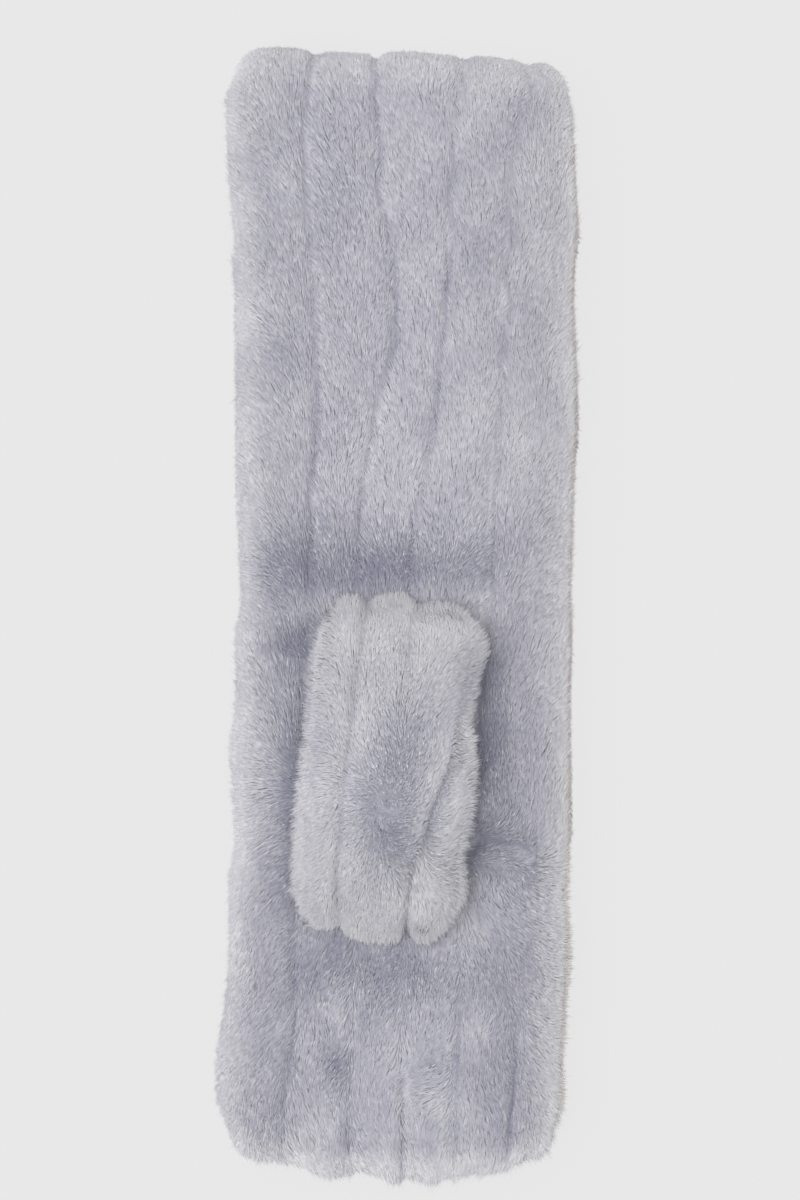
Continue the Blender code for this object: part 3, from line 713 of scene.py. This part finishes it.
# strands: how many, how far each runs along the fur's surface, and how they gather into tufts
faceFur = {
    "seed": 11, "strands": 297000, "run": 10.0, "width": 0.36, "tone": 0.25,
    "tuft": (1.6, 5.0, 1.6), "gather": 0.05,
    "spike": 1.2,  # how far the tips stand out at a rim, and how far they lie in layers elsewhere
    "layers": 0.35,
    "rimRun": 0.7,  # the share of its run that a strand keeps at a rim
    "flight": 0.35,  # how straight it flies off past an edge
    # painted light at the rims, as a lighter tone
    "rimPaintedLight": 0.32,
    "rimShare": 1.5,  # how many more strands a rim has
    "line": 0.55,  # how much painted shade darkens the bottoms of the valleys and creases
    "pieces": 3,
}
sideFur = {
    # the sides are painted paler than the face, as light on sides that lie in shade, and lighter at the
    # rims as painted light
    "seed": 23, "strands": 88000, "run": 6.0, "width": 0.38, "tone": 0.58,
    "tuft": (2.0, 3.0, 2.0), "gather": 0.06,
    "spike": 0.6,
    "layers": 0.35,
    "rimRun": 0.6,
    "flight": 0.2,
    "rimPaintedLight": 0.24,
    "floorShare": 0.12,  # how many strands there are where the fur lies on the floor
    "line": 0.0,
    "pieces": 1,
}
keeperFur = {
    "seed": 37, "strands": 84000, "run": 7.0, "width": 0.36, "tone": 0.44,
    "tuft": (1.7, 3.0, 1.7), "gather": 0.08,
    "spike": 2.8,
    "layers": 0.7,
    "rimRun": 0.6,
    "flight": 0.0,
    # painted light at the rims, and painted shade at the bottoms of the valleys
    "rimPaintedLight": 0.05,
    "rimShare": 0.8,
    "line": 0.25,
    "pieces": 1,
}

# what all the pile shares: a pair is the lowest and the highest, and a wave its size and its height
strand = {
    "tuftStray": 0.07,  # how far a tuft's way strays, and a strand's own
    "ownStray": 0.10,
    "broadTurn": (55, 0.08),
    "fineTurn": (20, 0.10),
    "runWave": (30, 0.08),
    "uprightRun": 0.3,  # the share of its run that an upright strand keeps
    "ownRun": (0.75, 1.2),
    "tuftRun": 0.06,
    "tuftRunLimits": (0.7, 1.3),
    "valleyRun": 0.5,  # the share of its run that a strand loses down in a valley
    "crownAt": 0.45,  # how far along its run it reaches the surface
    "tuftLift": 0.09,
    "ownLift": 0.12,
    "uprightLift": 8,  # how many times more upright strands differ in height
    "fullDepth": 4.0,  # pile this deep has its whole lift
    "tuftSpike": (-0.8, 0.4),  # the middle and the spread of a tuft's spike
    "ownSpike": 0.65,
    "spikeLimits": (-3, 4),
    "cutLift": 0.5,  # how far a run that an edge cuts short goes into lift
    "flare": 0.5,
    "gatherAtRim": 1.5,
    "gatherUpright": 5,
    "ownGather": (0.5, 1.3),
    "middleRoot": 0.12,  # the shares of the root, the crown and the tip in a strand's middle
    "middleCrown": 0.60,
    "middleTip": 0.28,
    "middleSink": 0.6,
    "twist": 0.3,
    "ownWidth": (0.75, 1.25),
    "floorGap": 0.2,
    "floorSpread": 0.5,
    "broadTone": (38, 0.03),
    "fineTone": (12, 0.02),
    "tuftTone": 0.025,
    "ownTone": 0.05,
    "uprightTones": 3,  # how many times more upright strands differ in tone, and how much painted shade darkens them
    "uprightPaintedShade": 0.35,
    "ownWarm": (0.6, 1.2),
    # how narrow the painted shade in the valleys is, and how much tone the painted shade and pale patches
    # add
    "lineSharpness": 8,
    "paleTone": 0.2,
    "mostTone": 0.8,
    "faceFurward": 2.5,  # how far the shading turns to the fur's own face, and up
    "faceUp": 2.0,
    "upFrom": 1.2,
    "upEase": 3,
}


# Grows strands. Each starts on the skin, rises to its crown, on the fur's surface nearly half way along its
# run, and ends in its tip. It is a pointed leaf of two triangles: its root, two points beside its middle,
# which is a share each of root, crown and tip, and its tip.
def growFur(name, surface, fur, weight, material):
    seed = fur["seed"]
    rng = np.random.default_rng(seed)
    count = int(fur["strands"] * (1))
    i, j = scatter(surface, weight, count, rng)
    order = np.argsort(i, kind="stable")
    i, j = i[order], j[order]
    base = sample(surface["points"], i, j)
    normal = unit(sample(surface["normal"], i, j))
    tuft = tuftOf(base, fur["tuft"], seed)
    tufts = tuft.max() + 1

    def wave(key, shift):
        size, high = strand[key]
        return high * waves(base, size, seed + shift)

    # the way and the run
    way = sample(surface["nap"], i, j)
    lean = sample(surface["lean"], i, j) * np.clip(np.linalg.norm(way, axis=1), 0, 1)
    way = way + rng.normal(0, strand["tuftStray"], (tufts, 3))[tuft]
    way = way + rng.normal(0, strand["ownStray"], (count, 3))
    way = unit(way - normal * (way * normal).sum(axis=1, keepdims=True))
    way = turned(way, normal, wave("broadTurn", 10) + wave("fineTurn", 11))
    rim = sample(surface["rim"], i, j)
    fringe = sample(surface["fringe"], i, j)
    reach = fur["run"] * (1 + wave("runWave", 12))
    reach = reach * (strand["uprightRun"] + (1 - strand["uprightRun"]) * lean)
    reach = reach * (1 - (1 - fur["rimRun"]) * rim)
    ownRun = rng.uniform(*strand["ownRun"], count)
    tuftRun = rng.normal(1, strand["tuftRun"], tufts)[tuft].clip(*strand["tuftRunLimits"])
    reach = reach * ownRun * tuftRun
    reach = reach * (1 - strand["valleyRun"] * sample(surface["valley"], i, j) ** 2)
    crownAt, tipAfter = strand["crownAt"], 1 - strand["crownAt"]
    halfI, halfJ = slide(surface, i, j, way, reach * crownAt)
    endI, endJ = slide(surface, halfI, halfJ, way, reach * tipAfter)

    # the root, the crown and the tip
    root = sample(surface["skin"], i, j)
    full = np.minimum(np.linalg.norm(base - root, axis=1) / strand["fullDepth"], 1)
    crown = sample(surface["points"], halfI, halfJ)
    tip = sample(surface["points"], endI, endJ)
    short = np.clip(tipAfter * reach - np.linalg.norm(tip - crown, axis=1), 0, None)
    straight = crown + way * (tipAfter * reach)[:, None]
    tip = tip + (straight - tip) * (fur["flight"] * np.clip(fringe, 0, 1))[:, None]
    lift = rng.normal(0, strand["tuftLift"], tufts)[tuft]
    lift = lift + rng.normal(0, strand["ownLift"], count) * (1 + strand["uprightLift"] * (1 - lean))
    spike = rng.normal(*strand["tuftSpike"], tufts)[tuft] + rng.exponential(strand["ownSpike"], count)
    spike = np.clip(fur["spike"] * spike, *strand["spikeLimits"])
    level = fur["layers"] * rng.uniform(0, 1, count) * full
    lift = lift * full + strand["cutLift"] * short * (1 + fringe) + fringe * spike - level
    outward = unit(unit(sample(surface["normal"], endI, endJ)) + strand["flare"] * fringe[:, None] * way)
    tip = tip + outward * lift[:, None]
    gather = fur["gather"] * (1 + strand["gatherAtRim"] * rim + strand["gatherUpright"] * (1 - lean))
    gather = gather * rng.uniform(*strand["ownGather"], count)
    tip = tip + (tuftMean(tip, tuft) - tip) * gather[:, None]
    middle = strand["middleRoot"] * root + strand["middleCrown"] * crown + strand["middleTip"] * tip
    middle = middle - normal * (strand["middleSink"] * level)[:, None]

    across = unit(np.cross(way, normal) + strand["twist"] * normal * rng.normal(0, 1, count)[:, None])
    across = across * np.where(np.cross(across, tip - middle)[:, 2:] < 0, -1, 1)  # its upper side in front
    broad = (fur["width"] * rng.uniform(*strand["ownWidth"], count) / 2)[:, None] * across
    points = np.stack([root, middle - broad, middle + broad, tip], axis=1)
    above = strand["floorGap"] + strand["floorSpread"] * rng.uniform(0, 1, (count, 1))
    points[..., 2] = np.maximum(points[..., 2], above)

    # its tone, at the root, the middle and the tip: painted darker as shade where it stands upright and in
    # the valleys and creases, with painted light at the rims, the painted shade and pale patches, and the
    # painted warm reflection
    own = fur["tone"] + wave("broadTone", 20) + wave("fineTone", 21)
    own = own + rng.normal(0, strand["tuftTone"], tufts)[tuft]
    stray = strand["ownTone"] * (rng.exponential(1, count) - 1)
    own = own + stray * (1 + strand["uprightTones"] * (1 - lean))
    own = own - strand["uprightPaintedShade"] * (1 - lean)
    warm = sample(surface["warm"], i, j) * rng.uniform(*strand["ownWarm"], count)
    tone = []
    for placeI, placeJ in ((i, j), (halfI, halfJ), (endI, endJ)):
        line = sample(surface["valley"], placeI, placeJ) ** strand["lineSharpness"]
        here = own - fur["line"] * line + fur["rimPaintedLight"] * sample(surface["rim"], placeI, placeJ)
        here = here + strand["paleTone"] * sample(surface["pale"], placeI, placeJ)
        here = np.clip(here, furColours["darkTone"], strand["mostTone"])
        tone.append(here * (1 - warm) + furColours["warmTone"] * warm)
    tone = toneShare(np.clip(np.stack([tone[0], tone[1], tone[1], tone[2]], axis=1), None, 1))

    # its shading: its own face, turned to the fur's and upwards, so that the pile reads as one soft surface
    front = unit(np.cross(across, tip - middle))
    side = np.where((normal * front).sum(axis=1) < 0, -1, 1)[:, None]
    rise = np.clip(normal[:, 2:] + strand["upFrom"], 0, 1) * np.clip(strand["upEase"] * front[:, 2:], 0, 1)
    facing = unit(front + strand["faceFurward"] * normal * side + rise * np.array([0, 0, strand["faceUp"]]))

    made = []
    for k, part in enumerate(np.array_split(np.arange(count), fur["pieces"])):
        label = name if fur["pieces"] == 1 else f"{name}_{k + 1}"
        made.append(strandMesh(label, points[part], tone[part], lean[part], facing[part], material))
    print(f"{name}: {count} strands in {tufts} tufts")
    return made


# a strand's UV map: across, its tone between low and high, a little apart at its two middle points, and up,
# its share from root to tip, which starts higher as it stands more upright, so that less painted light
# reaches its foot
strandMap = {"low": 0.01, "high": 0.99, "apart": 0.006, "middle": 0.55, "uprightRise": 0.8}


# strands as one piece, with four points and two triangles to each
def strandMesh(name, points, tone, lean, facing, material):
    count = len(points)
    mesh = bpy.data.meshes.new(name)
    mesh.vertices.add(count * 4)
    mesh.vertices.foreach_set("co", (points * mm).astype(np.float32).ravel())
    pattern = np.array([0, 2, 1, 1, 2, 3])
    loops = (np.arange(count)[:, None] * 4 + pattern).ravel().astype(np.int32)
    mesh.loops.add(len(loops))
    mesh.loops.foreach_set("vertex_index", loops)
    mesh.polygons.add(count * 2)
    mesh.polygons.foreach_set("loop_start", np.arange(0, count * 6, 3, dtype=np.int32))
    layer = mesh.uv_layers.new(name="OFBake")
    low, high, middle = strandMap["low"], strandMap["high"], strandMap["middle"]
    shade = low + (high - low) * tone + np.array([0, -1, 1, 0]) * strandMap["apart"]
    rise = np.broadcast_to(np.array([low, middle, middle, high]), shade.shape)
    rise = np.maximum(rise, strandMap["uprightRise"] * (1 - lean)[:, None])
    uv = np.stack([shade, rise], axis=2)[:, pattern].astype(np.float32)
    layer.data.foreach_set("uv", uv.ravel())
    mesh.update(calc_edges=True)
    mesh.shade_smooth()
    mesh.validate()
    mesh.normals_split_custom_set_from_vertices(np.repeat(facing, 4, axis=0).tolist())
    mesh.materials.append(material)
    return placed(name, mesh)


furColours = {
    # the dark end of the ramp, bluish, which the painted shade reaches
    "dark": (0.315, 0.314, 0.42),
    "light": (0.92, 0.91, 0.93),
    "warm": (0.74, 0.68, 0.645),  # a painted warm reflection on the tips along the right edge
    "darkTone": -0.2,  # the tone that is the dark colour; the light one and the warm one follow
    "lightTone": 0.85,
    "warmTone": 1.0,
    "rootPaintedLight": 0.75,  # painted light: how much lighter in tone a strand's foot is, where little light gets
    "rootReach": 0.8,  # and how far up the strand that fades
    "underDark": (0.42, 0.43, 0.53),
    "underPale": (0.68, 0.68, 0.74),
}
pileFinish = {"Roughness": 0.75, "Specular IOR Level": 0.25, "Sheen Weight": 0.25, "Sheen Roughness": 0.5}
skinFinish = {"Roughness": 0.95, "Specular IOR Level": 0.1}
skinGrain = {"scale": 260, "detail": 5, "bump": 0.6, "bumpDistance": 0.001}


# a new material with its finish, its node tree and its shader
def startMaterial(name, finish):
    material = bpy.data.materials.new(name)
    material.use_nodes = True
    tree = material.node_tree
    shader = tree.nodes["Principled BSDF"]
    for socket, value in finish.items():
        shader.inputs[socket].default_value = value
    return material, tree, shader


# a new node with its settings and its inputs, each a value or another node's output
def addNode(tree, kind, inputs, **settings):
    node = tree.nodes.new("ShaderNode" + kind)
    for name, value in settings.items():
        setattr(node, name, value)
    for socket, value in inputs.items():
        if isinstance(value, bpy.types.NodeSocket):
            tree.links.new(value, node.inputs[socket])
        else:
            node.inputs[socket].default_value = value
    return node


# pile: each strand's own tone, and as much painted light at its foot as keeps it at most light, on a ramp
# from dark to light to the warm reflection's colour
def pileMaterial(name, colours):
    material, tree, shader = startMaterial(name, pileFinish)
    uv = addNode(tree, "UVMap", {}, uv_map="OFBake")
    split = addNode(tree, "SeparateXYZ", {"Vector": uv.outputs["UV"]})
    own = split.outputs["X"]
    lift = addNode(tree, "MapRange", {
        "Value": split.outputs["Y"], "From Max": colours["rootReach"],
        "To Min": toneShare(colours["darkTone"] + colours["rootPaintedLight"]), "To Max": 0.0,
    })
    total = addNode(tree, "Math", {0: own, 1: lift.outputs["Result"]})
    below = addNode(tree, "Math", {0: total.outputs["Value"], 1: toneShare(colours["lightTone"])},
                    operation="MINIMUM")
    most = addNode(tree, "Math", {0: below.outputs["Value"], 1: own}, operation="MAXIMUM")
    ramp = addNode(tree, "ValToRGB", {"Fac": most.outputs["Value"]})
    stops = ramp.color_ramp.elements
    stops[0].color = (*colours["dark"], 1)
    stops[1].position = toneShare(colours["lightTone"])
    stops[1].color = (*colours["light"], 1)
    stops.new(1.0).color = (*colours["warm"], 1)
    tree.links.new(ramp.outputs["Color"], shader.inputs["Base Color"])
    return material


# skin: the dense underfur, mottled, with a fine uneven surface
def skinMaterial(name, colours):
    material, tree, shader = startMaterial(name, skinFinish)
    place = addNode(tree, "TexCoord", {})
    noise = addNode(tree, "TexNoise", {
        "Vector": place.outputs["Object"], "Scale": skinGrain["scale"], "Detail": skinGrain["detail"],
    })
    mottle = noise.outputs["Fac"]
    mix = addNode(tree, "Mix", {
        "A": (*colours["underDark"], 1), "B": (*colours["underPale"], 1), "Factor": mottle,
    }, data_type="RGBA")
    bump = addNode(tree, "Bump", {
        "Strength": skinGrain["bump"], "Distance": skinGrain["bumpDistance"], "Height": mottle,
    })
    tree.links.new(mix.outputs["Result"], shader.inputs["Base Color"])
    tree.links.new(bump.outputs["Normal"], shader.inputs["Normal"])
    return material


# a plain floor, pale by its own glow so that shadows on it stay faint, and soft light from above
def makeStudio():
    studio = {"frameHeight": 556.6, "lookAtY": 6.0, "cameraHeight": 3.2, "floorSize": 6.0,
              "sunStrength": 1.57, "sunSpread": 60, "sunWay": (0.28, 0.0, -1.0), "sky": 0.49,
              "paper": 0.06, "paperGlow": 0.751}
    mesh = bpy.data.meshes.new("floor")
    size = studio["floorSize"]
    mesh.from_pydata([(-size, -size, 0), (size, -size, 0), (size, size, 0), (-size, size, 0)], [],
                     [(0, 1, 2, 3)])
    finish = {"Base Color": (*[studio["paper"]] * 3, 1), "Emission Color": (1, 1, 1, 1),
              "Emission Strength": studio["paperGlow"], "Roughness": 1.0, "Specular IOR Level": 0.0}
    mesh.materials.append(startMaterial("floor_paper", finish)[0])
    placed("floor", mesh)

    world = bpy.data.worlds.new("studio")
    bpy.context.scene.world = world
    world.use_nodes = True
    world.node_tree.nodes["Background"].inputs["Color"].default_value = (1, 1, 1, 1)
    world.node_tree.nodes["Background"].inputs["Strength"].default_value = studio["sky"]

    lamp = bpy.data.lights.new("window", "SUN")
    lamp.energy = studio["sunStrength"]
    lamp.angle = math.radians(studio["sunSpread"])
    window = placed("window", lamp)
    window.rotation_euler = Vector(studio["sunWay"]).to_track_quat("-Z", "Y").to_euler()

    lens = bpy.data.cameras.new("camera")
    lens.sensor_fit = "VERTICAL"
    lens.sensor_height = 36.0
    plane = wrap["stack"] * mm
    lens.lens = lens.sensor_height * (studio["cameraHeight"] - plane) / (studio["frameHeight"] * mm)
    lens.clip_end = 100
    camera = placed("camera", lens)
    camera.location = (0, studio["lookAtY"] * mm, studio["cameraHeight"])
    bpy.context.scene.camera = camera
    bpy.context.scene.view_settings.view_transform = "Standard"


makeStudio()
print("studio made")
pile = pileMaterial("wrap_pile", furColours)
bandPile = pileMaterial("keeper_pile", furColours)
underfur = skinMaterial("underfur", furColours)

wrapFur = wrapSurface()
upperRows = np.nonzero(~wrapFur["isUnder"])[0]
underRows = np.nonzero(wrapFur["isUnder"])[0]
allRound = np.append(np.arange(0, wrapFur["points"].shape[1], 2), 0)
faceSkin = makeSkin("face_skin", wrapFur, upperRows[::2], allRound, underfur)
underSkin = makeSkin("under_skin", wrapFur, underRows[::2], allRound, underfur)
print("wrap skins made")

keeperTube = keeperSurface()
keeperRound = np.append(np.arange(0, keeperTube["points"].shape[1]), 0)
keeperSkin = makeSkin("keeper_skin", keeperTube, np.arange(keeperTube["points"].shape[0]),
                      keeperRound, underfur)
print("keeper skin made")

onFace = ~wrapFur["onBack"] & ~wrapFur["isUnder"][:, None]
faceWeight = wrapFur["seen"] * onFace * (1 + faceFur["rimShare"] * wrapFur["fringe"])
sideWeight = wrapFur["seen"] * ~onFace * np.where(wrapFur["floor"], sideFur["floorShare"], 1.0)
faceHairs = growFur("face_fur", wrapFur, faceFur, faceWeight, pile)
sideHairs = growFur("side_fur", wrapFur, sideFur, sideWeight, pile)
keeperWeight = keeperTube["seen"] * (1 + keeperFur["rimShare"] * keeperTube["fringe"])
keeperHairs = growFur("keeper_fur", keeperTube, keeperFur, keeperWeight, bandPile)

for piece in [faceSkin, underSkin, keeperSkin] + faceHairs + sideHairs + keeperHairs:
    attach(piece, "root")
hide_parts("face_panel")
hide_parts("hidden_layers")
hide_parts("keeper_band")
